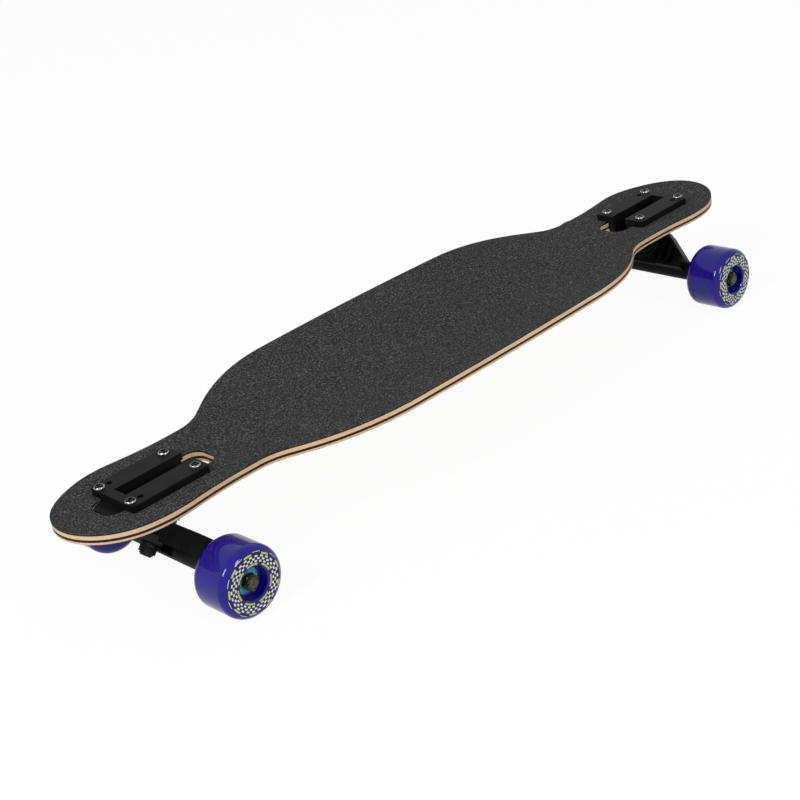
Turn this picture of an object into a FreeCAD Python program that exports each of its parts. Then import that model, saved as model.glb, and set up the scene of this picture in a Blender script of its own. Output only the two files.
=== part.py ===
import FreeCAD, Part
import math
import os

from FreeCAD import Placement, Rotation, Vector

# Longboard with trucks dropped through the deck. Millimetres, +Z up, +X towards the front end,
# +Y to the rider's left, origin on the ground under the middle of the board.

# Deck outline seen from above: every arc meets the next one at a common tangent
deck_length = 806.0
deck_width = 205.2
middle_edge_radius = 3600.0
shoulder_inset = 286.4
shoulder_radius_share = 3.3
shoulder_angle = 34.8
neck_corner_radius_share = 0.9
neck_draw_in = 4.8
neck_radius = 350.0
cheek_radius = 120.0
end_width = 111.2
end_length = 70.1

# Deck section: maple plies pressed over a drum and bent up at the ends, under a sheet of grip tape
concave_radius = 507.0
end_rise = 3.9
bend_gap = 1.2
ply_thickness = 1.12
ply_count = 8
grip_thickness = 0.6
lower_edge_round = 1.4

# Slot in the deck that the truck drops through, measured from the middle of the bolt pattern
slot_outward_reach = 50.0
slot_inward_reach = 59.0
slot_width = 31.0
slot_corner_radius = 11.0

# Truck placing and steering axis
truck_inset = 84.2
truck_height = 56.55
axle_inset = 2.4
steer_angle = 45.0
ring_ahead_of_axle = 4.9
ring_above_axle = 18.0

# Mounting bolts and their nuts
bolt_spacing_along = 63.5
bolt_spacing_across = 41.3
spare_hole_spacing_along = 53.98
bolt_radius = 2.4
bolt_head_radius = 4.7
bolt_head_height = 2.7
bolt_socket_flats = 3.2
bolt_socket_depth = 1.6
bolt_end_length = 2.0
bolt_nut_flats = 9.5
bolt_nut_height = 4.0
bolt_nut_collar_height = 1.2
bolt_hole_gap = 0.3

# Baseplate: two rails on top of the deck, a body through the slot, the kingpin's boss and the pivot post
rail_outward_reach = 36.0
rail_inward_reach = 40.0
rail_corner_radius = 4.0
rail_edge_round = 0.8
plate_width = 59.0
plate_thickness = 6.2
body_width = 29.0
body_outward_reach = 36.0
body_inward_reach = 38.0
body_outward_depth = 12.5
body_inward_depth = 20.0
tongue_reach = 47.5
tongue_drop = 1.0
tongue_corner_radius = 9.5
channel_width = 16.0
channel_depth = 15.0
bridge_length = 9.0
boss_seat_radius = 11.0
boss_radius = 14.4
boss_length = 16.0
seat_wall = 9.0
well_length = 45.0
post_radius = 11.5
post_mouth_reach = 21.0
post_floor = 2.5
post_end_round = 4.0
cup_radius = 9.0
cup_floor = 2.0
cup_lip = 0.8

# Kingpin, bushings and washers, stacked on the kingpin on both sides of the hanger's ring
kingpin_radius = 4.75
kingpin_head_flats = 14.3
kingpin_head_height = 6.5
kingpin_end_length = 1.0
kingpin_nut_flats = 13.2
kingpin_nut_height = 5.6
kingpin_nut_collar_height = 1.4
kingpin_hole_gap = 0.15
bushing_radius = 12.4
bushing_small_radius = 9.0
bushing_bore_gap = 0.25
bushing_edge = 1.0
boardside_bushing_height = 8.0
roadside_bushing_height = 10.0
washer_thickness = 1.7
washer_lip_height = 1.2
washer_lip_width = 1.0
washer_lip_gap = 0.2

# Hanger: a ring for the bushings, two webbed wings, the axle bar and the pivot nose
ring_radius = 17.0
ring_thickness = 12.0
ring_edge = 2.0
ring_bore_radius = 8.5
ring_seat_depth = 1.5
ring_seat_gap = 0.3
wing_thickness = 10.0
wing_rise = 3.5
wing_drop = 4.0
wing_start = 24.0
wing_top_width = 42.2
wing_end_inset = 21.9
wing_slope_height = 26.0
wing_corner_radius = 5.0
wing_foot_radius = 12.0
wing_skirt = 4.0
pocket_depth = 7.0
pocket_margin = 4.0
pocket_start = 26.0
pocket_end_inset = 12.0
pocket_rib_width = 2.4
pocket_count = 2
relief_width = 38.0
relief_gap = 0.6
bar_radius = 9.2
bar_shoulder_radius = 8.0
bar_taper_length = 12.0
bar_end_length = 7.0
bar_end_edge = 1.2
nose_root_radius = 9.5
nose_root_reach = 13.0
nose_taper_reach = 20.0
nose_radius = 6.2
nose_reach = 31.0

# Wheels
wheel_diameter = 60.0
wheel_width = 40.0
wheel_lip_radius = 7.5
wheel_mouth_radius = 14.4
wheel_mouth_edge = 0.9
wheel_recess_radius = 12.4
wheel_core_radius = 9.6
track_over_wheels = 218.0

# Axle, bearings and what is stacked on the axle
axle_radius = 4.0
axle_end_length = 0.4
axle_nut_flats = 12.7
axle_nut_height = 4.0
axle_nut_collar_height = 1.2
speed_ring_thickness = 1.0
speed_ring_radius = 6.0
spacer_length = 10.0
spacer_radius = 5.4
bearing_radius = 11.0
bearing_width = 7.0
bearing_outer_shoulder = 9.1
bearing_inner_shoulder = 6.05
ball_radius = 1.98
ball_count = 7
seal_thickness = 0.7
seal_inset = 0.15
seal_gap = 0.2

# Fits shared by the whole board
press_gap = 0.02
seat_gap = 0.05
pivot_gap = 0.1
groove_gap = 0.06
hex_edge_share = 0.07
collar_share = 0.86
overrun = 5.0

AXIS_X = Vector(1, 0, 0)
AXIS_Y = Vector(0, 1, 0)
AXIS_Z = Vector(0, 0, 1)

# Heights and places that follow from the sizes above
wheel_radius = wheel_diameter / 2
wheel_place = (track_over_wheels - wheel_width) / 2
truck_place = deck_length / 2 - truck_inset
middle_half_length = deck_length / 2 - shoulder_inset
neck_half_width = end_width / 2 - neck_draw_in
side_draw_in = deck_width / 2 - neck_half_width
shoulder_radius = side_draw_in * shoulder_radius_share
neck_corner_radius = side_draw_in * neck_corner_radius_share
axle_height = wheel_radius
plate_seat = axle_height + truck_height
plate_top = plate_seat + plate_thickness
rail_sag = concave_radius - math.sqrt(concave_radius ** 2 - (plate_width / 2) ** 2)
deck_top = plate_seat - rail_sag - seat_gap
concave_axis_height = deck_top + concave_radius
grip_radius = concave_radius + grip_thickness
deck_lower_radius = grip_radius + ply_count * ply_thickness
bend_start = truck_place + rail_outward_reach + bend_gap
bend_run = deck_length / 2 - bend_start
bend_radius = (bend_run ** 2 + end_rise ** 2) / (end_rise * 2)
bearing_place = (spacer_length + bearing_width) / 2
bearing_face = spacer_length / 2 + bearing_width
shoulder_place = wheel_place - bearing_face - speed_ring_thickness
wing_foot = shoulder_place - wing_end_inset
pocket_run = wing_foot - pocket_end_inset - pocket_start
pocket_pitch = (pocket_run + pocket_rib_width) / pocket_count
pitch_radius = (bearing_outer_shoulder + bearing_inner_shoulder) / 2

# The hanger's own frame starts at the ring's centre: X runs down the kingpin, Z up the steering axis
ring_place = Vector(ring_ahead_of_axle - axle_inset, 0, axle_height + ring_above_axle)
hanger_frame = Placement(ring_place, Rotation(AXIS_Y, 90 - steer_angle))
axle_place = Vector(-axle_inset, 0, axle_height)
axle_in_hanger = hanger_frame.inverse().multVec(axle_place)

# Stations along the kingpin, in the hanger's frame
ring_seat = ring_thickness / 2 - ring_seat_depth
boardside_seat = -ring_seat - seat_gap - boardside_bushing_height - washer_thickness
kingpin_head_seat = boardside_seat - seat_wall
roadside_washer_start = ring_seat + seat_gap + roadside_bushing_height
roadside_nut_start = roadside_washer_start + washer_thickness
kingpin_nut_end = roadside_nut_start + kingpin_nut_height + kingpin_nut_collar_height
cup_end = nose_reach + pivot_gap + cup_floor
post_end = cup_end + seat_gap + post_floor


# Basic shapes
def outline(start, *steps):
    """Wire through points; a step that is a pair gives an arc's middle and its end."""
    edges = []
    here = start
    for step in steps:
        if isinstance(step, tuple):
            end = step[1]
            edges.append(Part.Arc(here, step[0], end).toShape())
        else:
            end = step
            edges.append(Part.LineSegment(here, end).toShape())
        here = end
    return Part.Wire(edges)


def prism(points, sweep):
    """Straight solid on a polygon."""
    return Part.Face(outline(points[0], *points[1:], points[0])).extrude(sweep)


def block(low, high):
    """Box between two corners."""
    size = high - low
    return Part.makeBox(size.x, size.y, size.z, low)


def rod(radius, start, end, axis):
    """Round bar on an axis through the origin."""
    return Part.makeCylinder(radius, end - start, axis * start, axis)


def tube(outer_radius, inner_radius, start, end, axis):
    """Round sleeve on an axis through the origin."""
    return rod(outer_radius, start, end, axis).cut(rod(inner_radius, start, end, axis))


def side_of(axis):
    """Direction in which a turned profile's radius is drawn."""
    return AXIS_X if axis.x == 0 else AXIS_Y


def turned(axis, start, *steps):
    """Solid turned about an axis from a closed profile of (along, radius) points."""
    side = side_of(axis)

    def place(pair):
        return axis * pair[0] + side * pair[1]

    placed = []
    for step in steps:
        if isinstance(step[0], tuple):
            placed.append((place(step[0]), place(step[1])))
        else:
            placed.append(place(step))
    wire = outline(place(start), *placed, place(start))
    return Part.Face(wire).revolve(Vector(0, 0, 0), axis, 360)


def hexagon(across_flats, start, end, axis, corner):
    """Hexagonal bar whose first corner points along the given direction."""
    corner_radius = across_flats / math.sqrt(3)
    points = []
    for index in range(6):
        turn = Rotation(axis, 60 * index)
        points.append(axis * start + turn.multVec(corner) * corner_radius)
    return prism(points, axis * (end - start))


def lock_nut(across_flats, height, collar_height, bore_radius, start, axis, corner):
    """Hexagonal nut with rounded corners and the round collar that holds its locking ring."""
    corner_radius = across_flats / math.sqrt(3)
    edge = across_flats * hex_edge_share
    end = start + height
    barrel = turned(
        axis,
        (start, 0),
        (start, corner_radius - edge),
        (start + edge / 2, corner_radius),
        (end - edge / 2, corner_radius),
        (end, corner_radius - edge),
        (end, 0),
    )
    nut = hexagon(across_flats, start, end, axis, corner).common(barrel)
    collar = rod(across_flats / 2 * collar_share, end - edge, end + collar_height, axis)
    top = end + collar_height
    return nut.fuse(collar).cut(rod(bore_radius, start - overrun, top + overrun, axis)).removeSplitter()


def in_truck(shape):
    """Shape drawn in the hanger's frame, put into the truck's frame."""
    moved = shape.copy()
    moved.Placement = hanger_frame.multiply(shape.Placement)
    return moved


def truck_point(down_kingpin, up_axis):
    """Point of the hanger's middle plane, in the truck's frame."""
    return hanger_frame.multVec(Vector(down_kingpin, 0, up_axis))


def group(shapes):
    """Separate solids that share one node."""
    return Part.makeCompound(shapes)


# Deck
def on_circle(centre, radius, angle):
    """Point on a circle of the outline, the angle counted from +Y towards +X."""
    return centre + Vector(math.sin(angle), math.cos(angle), 0) * radius


def arc_step(centre, radius, first, last):
    """Outline step along a circle from one angle to another."""
    return (on_circle(centre, radius, (first + last) / 2), on_circle(centre, radius, last))


def quarter_outline():
    """Edges of the outline from the middle of the left side to the front tip."""
    middle_centre = Vector(0, deck_width / 2 - middle_edge_radius, 0)
    middle_turn = math.asin(middle_half_length / middle_edge_radius)
    shoulder_centre = on_circle(middle_centre, middle_edge_radius - shoulder_radius, middle_turn)
    slope = math.radians(shoulder_angle)
    run_start = on_circle(shoulder_centre, shoulder_radius, slope)

    end_centre = Vector(deck_length / 2 - end_length, 0, 0)
    cheek_centre = end_centre + AXIS_Y * (end_width / 2 - cheek_radius)
    neck_rise = neck_half_width + neck_radius - cheek_centre.y
    neck_back = math.sqrt((neck_radius + cheek_radius) ** 2 - neck_rise ** 2)
    neck_centre = cheek_centre + Vector(-neck_back, neck_rise, 0)
    cheek_turn = math.atan2(neck_centre.x - cheek_centre.x, neck_rise)

    # The neck's corner arc touches the straight run and, from inside, the neck's own arc
    outward = Vector(math.sin(slope), math.cos(slope), 0)
    along = Vector(math.cos(slope), -math.sin(slope), 0)
    gap = run_start + outward * neck_corner_radius - neck_centre
    reach = (neck_radius - neck_corner_radius) ** 2 - gap.dot(gap) + gap.dot(along) ** 2
    run_length = math.sqrt(reach) - gap.dot(along)
    corner_centre = run_start + outward * neck_corner_radius + along * run_length
    corner_end = math.atan2(neck_centre.x - corner_centre.x, neck_centre.y - corner_centre.y)

    line = outline(
        Vector(0, deck_width / 2, 0),
        arc_step(middle_centre, middle_edge_radius, 0, middle_turn),
        arc_step(shoulder_centre, shoulder_radius, middle_turn, slope),
        run_start + along * run_length,
        arc_step(corner_centre, -neck_corner_radius, slope, corner_end),
        arc_step(neck_centre, -neck_radius, corner_end, cheek_turn),
        arc_step(cheek_centre, cheek_radius, cheek_turn, 0),
    )
    tip = Vector(deck_length / 2, 0, 0)
    side = end_centre + AXIS_Y * (end_width / 2)
    ellipse = Part.Ellipse(tip, side, end_centre)
    return line.Edges + [Part.ArcOfEllipse(ellipse, 0, math.pi / 2).toShape()]


def deck_outline():
    """Closed outline of the whole deck."""
    quarter = quarter_outline()
    half = quarter + [edge.mirror(Vector(0, 0, 0), AXIS_X) for edge in quarter]
    whole = half + [edge.mirror(Vector(0, 0, 0), AXIS_Y) for edge in half]
    return Part.Wire(Part.__sortEdges__(whole))


def bolt_places():
    """Places of one truck's four mounting bolts, outward ones first."""
    along = bolt_spacing_along / 2
    across = bolt_spacing_across / 2
    return [Vector(x, y, 0) for x in (along, -along) for y in (across, -across)]


def deck_cuts():
    """Slots and bolt holes of both trucks, from under the deck to above it."""
    low = axle_height
    depth = plate_top - low
    half = slot_width / 2
    slot = block(Vector(-slot_inward_reach, -half, low), Vector(slot_outward_reach, half, plate_top))
    upright = [edge for edge in slot.Edges if edge.Vertexes[0].Point.z != edge.Vertexes[1].Point.z]
    cuts = [slot.makeFillet(slot_corner_radius, upright)]
    for place in bolt_places():
        hole_radius = bolt_radius + bolt_hole_gap
        cuts.append(Part.makeCylinder(hole_radius, depth, place + AXIS_Z * low))
    return group([placed for cut in cuts for placed in (at_front(cut), at_rear(cut))])


def layer_section(inner_radius, outer_radius):
    """Slice across the board, where the front bend starts, between two circles about the concave's axis."""
    centre = Vector(bend_start, 0, concave_axis_height)
    turn = math.asin((deck_width / 2 + overrun) / inner_radius)

    def at(radius, angle):
        return centre + Vector(0, math.sin(angle), -math.cos(angle)) * radius

    return Part.Face(outline(
        at(outer_radius, -turn),
        (at(outer_radius, 0), at(outer_radius, turn)),
        at(inner_radius, turn),
        (at(inner_radius, 0), at(inner_radius, -turn)),
        at(outer_radius, -turn),
    ))


def curved_layer(inner_radius, outer_radius):
    """Layer of the board that runs straight between the trucks and bends up at both ends."""
    section = layer_section(inner_radius, outer_radius)
    middle = section.extrude(AXIS_X * (-bend_start * 2))
    bend_centre = Vector(bend_start, 0, deck_top + bend_radius)
    angle = math.degrees(math.asin((bend_run + overrun) / bend_radius))
    front = section.revolve(bend_centre, AXIS_Y * -1, angle)
    return middle.fuse([front, front.mirror(Vector(0, 0, 0), AXIS_X)])


def faces_down(face):
    """Whether a face looks down more than to the side."""
    normal = face.normalAt(*face.Surface.parameter(face.CenterOfMass))
    return -normal.z > math.hypot(normal.x, normal.y)


def lower_rim(board):
    """Edges between the underside and the side of a board without holes."""
    edges = [edge for face in board.Faces if faces_down(face) for edge in face.OuterWire.Edges]
    return [edge for edge in edges if sum(edge.isSame(other) for other in edges) == 1]


def build_deck():
    """Grip tape and plies, numbered from the top."""
    face = Part.Face(deck_outline())
    face.translate(AXIS_Z * axle_height)
    blank = face.extrude(AXIS_Z * (concave_axis_height - axle_height))
    cuts = deck_cuts()
    parts = {"grip_tape": blank.common(curved_layer(concave_radius, grip_radius)).cut(cuts)}

    board = blank.common(curved_layer(grip_radius, deck_lower_radius))
    board = board.makeFillet(lower_edge_round, lower_rim(board)).cut(cuts)
    for index in range(ply_count):
        upper = grip_radius + index * ply_thickness
        lower = upper + ply_thickness if index < ply_count - 1 else deck_lower_radius + overrun
        parts[f"deck_ply_{index + 1}"] = board.common(curved_layer(upper, lower))
    return parts


# Truck pieces, drawn with +X pointing outwards to the board's end and the origin under the bolt pattern
def bolt_hole(place, low):
    """Clearance hole for a mounting bolt, from a height up through the plate."""
    return Part.makeCylinder(bolt_radius + bolt_hole_gap, plate_top + overrun - low, place + AXIS_Z * low)


def baseplate_body():
    """Casting that hangs through the slot, from over the pivot post to its inward end."""
    profile = [
        Vector(body_outward_reach, 0, plate_top),
        Vector(body_outward_reach, 0, plate_seat - body_outward_depth),
        truck_point(0, post_end - post_end_round),
        truck_point(0, post_mouth_reach),
        truck_point(-post_radius, post_mouth_reach),
        Vector(-body_inward_reach, 0, plate_seat - body_inward_depth),
        Vector(-body_inward_reach, 0, plate_top),
    ]
    shifted = [point - AXIS_Y * (body_width / 2) for point in profile]
    return prism(shifted, AXIS_Y * body_width)


def tongue():
    """Outward end of the casting, which fills the slot up to a little below the deck's top."""
    half = body_width / 2
    low = Vector(0, -half, plate_seat - body_outward_depth)
    plug = block(low, Vector(tongue_reach, half, deck_top - tongue_drop))
    corners = [
        edge for edge in plug.Edges
        if edge.BoundBox.ZLength > edge.BoundBox.YLength and edge.BoundBox.XMin > body_outward_reach
    ]
    return plug.makeFillet(tongue_corner_radius, corners)


def seat_boss():
    """Boss round the kingpin that carries the boardside washer and runs up into the body."""
    end = kingpin_head_seat - boss_length
    return turned(
        AXIS_X,
        (boardside_seat, 0),
        (boardside_seat, boss_seat_radius),
        (kingpin_head_seat, boss_radius),
        (end, boss_radius),
        (end, 0),
    )


def kingpin_well():
    """Slanted hollow down which the kingpin's head drops to its seat."""
    half = channel_width / 2
    reach = kingpin_head_flats / math.sqrt(3) + kingpin_hole_gap
    end = kingpin_head_seat - well_length
    return block(Vector(end, -half, -reach), Vector(kingpin_head_seat, half, reach))


def pivot_post():
    """Round post whose closed end shows as a hump in the floor of the channel."""
    post = rod(post_radius, post_mouth_reach, post_end, AXIS_Z)
    closed_rim = [edge for edge in post.Edges if edge.BoundBox.ZMin > post_end - post_end_round]
    return post.makeFillet(post_end_round, closed_rim)


def baseplate():
    """Rails, body, boss and pivot post in one casting."""
    half = plate_width / 2
    inward_corner = Vector(-rail_inward_reach, -half, plate_seat)
    rails = block(inward_corner, Vector(rail_outward_reach, half, plate_top))
    upright = [edge for edge in rails.Edges if edge.Vertexes[0].Point.z != edge.Vertexes[1].Point.z]
    rails = rails.makeFillet(rail_corner_radius, upright)
    rim = [edge for edge in rails.Edges if edge.BoundBox.ZMin > plate_top - rail_edge_round]
    rails = rails.makeFillet(rail_edge_round, rim)
    channel = block(
        Vector(-rail_inward_reach - overrun, -channel_width / 2, plate_top - channel_depth),
        Vector(rail_outward_reach - bridge_length, channel_width / 2, plate_top + overrun),
    )
    casting = rails.fuse([baseplate_body(), tongue(), in_truck(seat_boss())])
    plate = casting.cut(channel).fuse(in_truck(pivot_post()))

    socket = rod(cup_radius + press_gap, nose_root_reach, cup_end + seat_gap, AXIS_Z)
    bore_radius = kingpin_radius + kingpin_hole_gap
    bore = rod(bore_radius, kingpin_head_seat - overrun, boardside_seat + overrun, AXIS_X)
    cuts = [in_truck(kingpin_well()), in_truck(socket), in_truck(bore)]
    spare_shift = AXIS_X * (spare_hole_spacing_along - bolt_spacing_along)
    for place in bolt_places():
        cuts.append(bolt_hole(place, plate_seat - overrun))
        if place.x > 0:
            cuts.append(bolt_hole(place + spare_shift, plate_seat - overrun))
    return plate.cut(cuts).removeSplitter()


def nose(gap):
    """Pivot nose of the hanger, or with a gap the hollow that it turns in."""
    radius = nose_radius + gap
    centre = nose_reach - nose_radius
    slant = radius * math.sqrt(2) / 2
    return turned(
        AXIS_Z,
        (nose_root_reach, 0),
        (nose_root_reach, nose_root_radius + gap),
        (nose_taper_reach, radius),
        (centre, radius),
        ((centre + slant, slant), (centre + radius, 0)),
    )


def pivot_cup():
    """Moulded cup pressed into the post, with a lip standing proud of its mouth."""
    return rod(cup_radius, post_mouth_reach - cup_lip, cup_end, AXIS_Z).cut(nose(pivot_gap))


def kingpin():
    """Bolt through the seat, both bushings and the ring."""
    head_top = kingpin_head_seat - kingpin_head_height
    shank = rod(kingpin_radius, kingpin_head_seat, kingpin_nut_end + kingpin_end_length, AXIS_X)
    head = hexagon(kingpin_head_flats, head_top, kingpin_head_seat, AXIS_X, AXIS_Z)
    return head.fuse(shank).removeSplitter()


def kingpin_nut():
    """Lock nut at the kingpin's outer end."""
    return lock_nut(
        kingpin_nut_flats,
        kingpin_nut_height,
        kingpin_nut_collar_height,
        kingpin_radius + press_gap,
        roadside_nut_start,
        AXIS_X,
        AXIS_Z,
    )


def bushing(wide_end, narrow_end, narrow_radius):
    """Urethane bushing from its seat in the ring to its washer, with broken edges."""
    step = math.copysign(bushing_edge, narrow_end - wide_end)
    bore = kingpin_radius + bushing_bore_gap
    return turned(
        AXIS_X,
        (wide_end, bore),
        (wide_end, bushing_radius - bushing_edge),
        (wide_end + step, bushing_radius),
        (narrow_end - step, narrow_radius),
        (narrow_end, narrow_radius - bushing_edge),
        (narrow_end, bore),
    )


def washer_radius(held_radius):
    """Outer radius of the washer that holds a bushing of this radius."""
    return held_radius + washer_lip_gap + washer_lip_width


def cup_washer(seat, towards, held_radius):
    """Steel washer on its seat, with a lip round the bushing that it holds."""
    bore = kingpin_radius + kingpin_hole_gap
    outer = washer_radius(held_radius)
    inner = outer - washer_lip_width
    face = seat + towards * washer_thickness
    lip = face + towards * washer_lip_height
    profile = [(seat, outer), (lip, outer), (lip, inner), (face, inner), (face, bore)]
    return turned(AXIS_X, (seat, bore), *profile)


def wing_top(across):
    """Height of the wings' upper edge at a distance from the middle."""
    knee = wing_top_width / 2
    beyond = max(0.0, across - knee)
    return ring_radius - beyond * wing_slope_height / (wing_foot - knee)


def wing_pocket(start, end):
    """Hollow between ribs on the face of a wing that looks to the deck."""
    foot = axle_in_hanger.z - wing_skirt + pocket_margin
    knee = wing_top_width / 2
    back = -wing_thickness / 2 - wing_rise
    points = [Vector(back, start, foot), Vector(back, start, wing_top(start) - pocket_margin)]
    if start < knee < end:
        points.append(Vector(back, knee, wing_top(knee) - pocket_margin))
    points += [Vector(back, end, wing_top(end) - pocket_margin), Vector(back, end, foot)]
    return prism(points, AXIS_X * pocket_depth)


def web(back, thickness):
    """Flat web in the outline of the ring and both wings, with rounded corners."""
    knee = wing_top_width / 2
    low = axle_in_hanger.z - wing_skirt
    points = [
        Vector(back, -wing_foot, low),
        Vector(back, wing_foot, low),
        Vector(back, wing_foot, wing_top(wing_foot)),
        Vector(back, knee, wing_top(knee)),
        Vector(back, -knee, wing_top(knee)),
        Vector(back, -wing_foot, wing_top(wing_foot)),
    ]
    plate = prism(points, AXIS_X * thickness)
    for height, radius in ((wing_top(knee), wing_corner_radius), (wing_top(wing_foot), wing_foot_radius)):
        corners = [
            edge for edge in plate.Edges
            if abs(edge.BoundBox.Center.z - height) < press_gap and edge.BoundBox.YLength < press_gap
        ]
        plate = plate.makeFillet(radius, corners)
    return plate


def hanger_plate():
    """Web that carries the ring, with wings that get thicker on both faces beyond the bushings."""
    front = -wing_thickness / 2
    thick = web(front - wing_rise, wing_rise + wing_thickness + wing_drop)
    reach = ring_radius + overrun
    room = block(
        Vector(front - wing_rise, -wing_start, axle_in_hanger.z - reach),
        Vector(wing_thickness / 2 + wing_drop, wing_start, reach),
    )
    plate = web(front, wing_thickness).fuse(thick.cut(room))
    pockets = []
    for index in range(pocket_count):
        start = pocket_start + index * pocket_pitch
        pocket = wing_pocket(start, start + pocket_pitch - pocket_rib_width)
        pockets += [pocket, pocket.mirror(Vector(0, 0, 0), AXIS_Y)]
    return plate.cut(pockets)


def axle_bar():
    """Bar round the axle, narrowing to the shoulders that the wheels run against."""
    taper_end = shoulder_place - bar_end_length
    taper_start = taper_end - bar_taper_length
    half = [
        (taper_start, bar_radius),
        (taper_end, bar_shoulder_radius),
        (shoulder_place - bar_end_edge, bar_shoulder_radius),
        (shoulder_place, bar_shoulder_radius - bar_end_edge),
        (shoulder_place, 0),
    ]
    other = [(-along, radius) for along, radius in reversed(half)]
    return turned(AXIS_Y, half[0], *half[1:], *other)


def hanger():
    """Ring, wings, axle bar and pivot nose in one casting."""
    bar = axle_bar()
    bar.translate(axle_in_hanger)
    ring = rod(ring_radius, -ring_thickness / 2, ring_thickness / 2, AXIS_X)
    rims = [edge for edge in ring.Edges if isinstance(edge.Curve, Part.Circle)]
    ring = ring.makeChamfer(ring_edge, rims)
    casting = ring.fuse([hanger_plate(), bar, nose(0), rod(nose_root_radius, 0, nose_root_reach, AXIS_Z)])
    seat_radius = bushing_radius + ring_seat_gap
    back = ring_thickness / 2 + nose_root_radius
    end = axle_in_hanger.x + bar_radius + overrun
    relief_reach = washer_radius(bushing_small_radius) + relief_gap
    cone_room = turned(
        AXIS_X,
        (ring_seat, 0),
        (ring_seat, seat_radius),
        (ring_seat + bushing_edge, seat_radius),
        (roadside_washer_start, bushing_small_radius + ring_seat_gap),
        (roadside_washer_start, 0),
    )
    washer_room = block(
        Vector(ring_thickness / 2, -relief_width / 2, -relief_reach),
        Vector(end, relief_width / 2, relief_reach),
    )
    axle_hole = rod(axle_radius + press_gap, -shoulder_place - overrun, shoulder_place + overrun, AXIS_Y)
    axle_hole.translate(axle_in_hanger)
    cuts = [
        rod(ring_bore_radius, -back, end, AXIS_X),
        rod(seat_radius, -back, -ring_seat, AXIS_X),
        cone_room,
        washer_room,
        axle_hole,
    ]
    return casting.cut(cuts).removeSplitter()


def mounting_bolt(place):
    """Button-head bolt through a rail and the deck, with a hexagonal socket."""
    head_top = plate_top + bolt_head_height
    dome_height = bolt_head_height / 3
    bend = bolt_head_radius * math.sqrt(2) / 2
    rise = (bolt_head_height - dome_height) * math.sqrt(2) / 2
    crown = bolt_head_radius / 2
    head = turned(
        AXIS_Z,
        (plate_top, 0),
        (plate_top, bolt_head_radius),
        (plate_top + dome_height, bolt_head_radius),
        ((plate_top + dome_height + rise, bend + (bolt_head_radius - bend) / 3), (head_top, crown)),
        (head_top, 0),
    )
    shank_end = nut_seat() - bolt_nut_height - bolt_nut_collar_height - bolt_end_length
    shank = rod(bolt_radius, shank_end, plate_top, AXIS_Z)
    socket = hexagon(bolt_socket_flats, head_top - bolt_socket_depth, head_top + overrun, AXIS_Z, AXIS_X)
    bolt = head.fuse(shank).cut(socket).removeSplitter()
    bolt.translate(place)
    return bolt


def nut_seat():
    """Height at which a mounting nut first meets the curved underside of the deck."""
    nearest = bolt_spacing_across / 2 - bolt_nut_flats / math.sqrt(3)
    return concave_axis_height - math.sqrt(deck_lower_radius ** 2 - nearest ** 2) - seat_gap


def mounting_nut(place):
    """Lock nut under the deck, its collar pointing down."""
    nut = lock_nut(
        bolt_nut_flats,
        bolt_nut_height,
        bolt_nut_collar_height,
        bolt_radius + press_gap,
        -nut_seat(),
        AXIS_Z * -1,
        AXIS_X,
    )
    nut.translate(place)
    return nut


def build_truck():
    """All pieces of one truck apart from its wheels."""
    bushing_seat = ring_seat + seat_gap
    tilted = {
        "pivot_cup": pivot_cup(),
        "kingpin": kingpin(),
        "kingpin_nut": kingpin_nut(),
        "boardside_washer": cup_washer(boardside_seat, 1, bushing_radius),
        "boardside_bushing": bushing(-bushing_seat, boardside_seat + washer_thickness, bushing_radius),
        "roadside_bushing": bushing(bushing_seat, roadside_washer_start, bushing_small_radius),
        "roadside_washer": cup_washer(roadside_nut_start, -1, bushing_small_radius),
        "hanger": hanger(),
    }
    pieces = {"baseplate": baseplate()}
    pieces.update({name: in_truck(shape) for name, shape in tilted.items()})
    pieces["mounting_bolts"] = group([mounting_bolt(place) for place in bolt_places()])
    pieces["mounting_nuts"] = group([mounting_nut(place) for place in bolt_places()])

    on_axle = {
        "axle": [axle()],
        "axle_nuts": [axle_nut(side) for side in (1, -1)],
        "speed_rings": [ring for side in (1, -1) for ring in speed_rings(side)],
        "bearing_inner_rings": [ring for side in (1, -1) for ring in inner_rings(side)],
        "bearing_spacers": [spacer(side) for side in (1, -1)],
    }
    for name, shapes in on_axle.items():
        for shape in shapes:
            shape.translate(axle_place)
        pieces[name] = group(shapes) if len(shapes) > 1 else shapes[0]
    return pieces


# Pieces on the axle, drawn on the Y axis; side is 1 for the wheel towards +Y and -1 for the other
def axle_nut_seat():
    """Distance from the middle at which the axle nut sits."""
    return wheel_place + bearing_face + speed_ring_thickness


def axle():
    """Steel axle through the hanger and both wheels."""
    end = axle_nut_seat() + axle_nut_height + axle_nut_collar_height + axle_end_length
    return rod(axle_radius, -end, end, AXIS_Y)


def axle_nut(side):
    """Lock nut that keeps a wheel on the axle."""
    return lock_nut(
        axle_nut_flats,
        axle_nut_height,
        axle_nut_collar_height,
        axle_radius + press_gap,
        axle_nut_seat(),
        AXIS_Y * side,
        AXIS_X,
    )


def speed_rings(side):
    """Thin rings on both outer faces of a wheel's bearings."""
    inner = wheel_place - bearing_face - speed_ring_thickness
    outer = wheel_place + bearing_face
    return [
        tube(speed_ring_radius, axle_radius + press_gap, start, start + speed_ring_thickness, AXIS_Y * side)
        for start in (inner, outer)
    ]


def spacer(side):
    """Sleeve between a wheel's two bearings."""
    start = wheel_place - spacer_length / 2
    return tube(spacer_radius, axle_radius + press_gap, start, start + spacer_length, AXIS_Y * side)


def ball_groove():
    """Ring-shaped track of the balls."""
    return Part.makeTorus(pitch_radius, ball_radius + groove_gap, Vector(0, 0, 0), AXIS_Y)


def in_both_bearings(shape):
    """Copies of a piece in the two bearings of a wheel that is centred on the origin."""
    copies = []
    for place in (-bearing_place, bearing_place):
        moved = shape.copy()
        moved.translate(AXIS_Y * place)
        copies.append(moved)
    return copies


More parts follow.
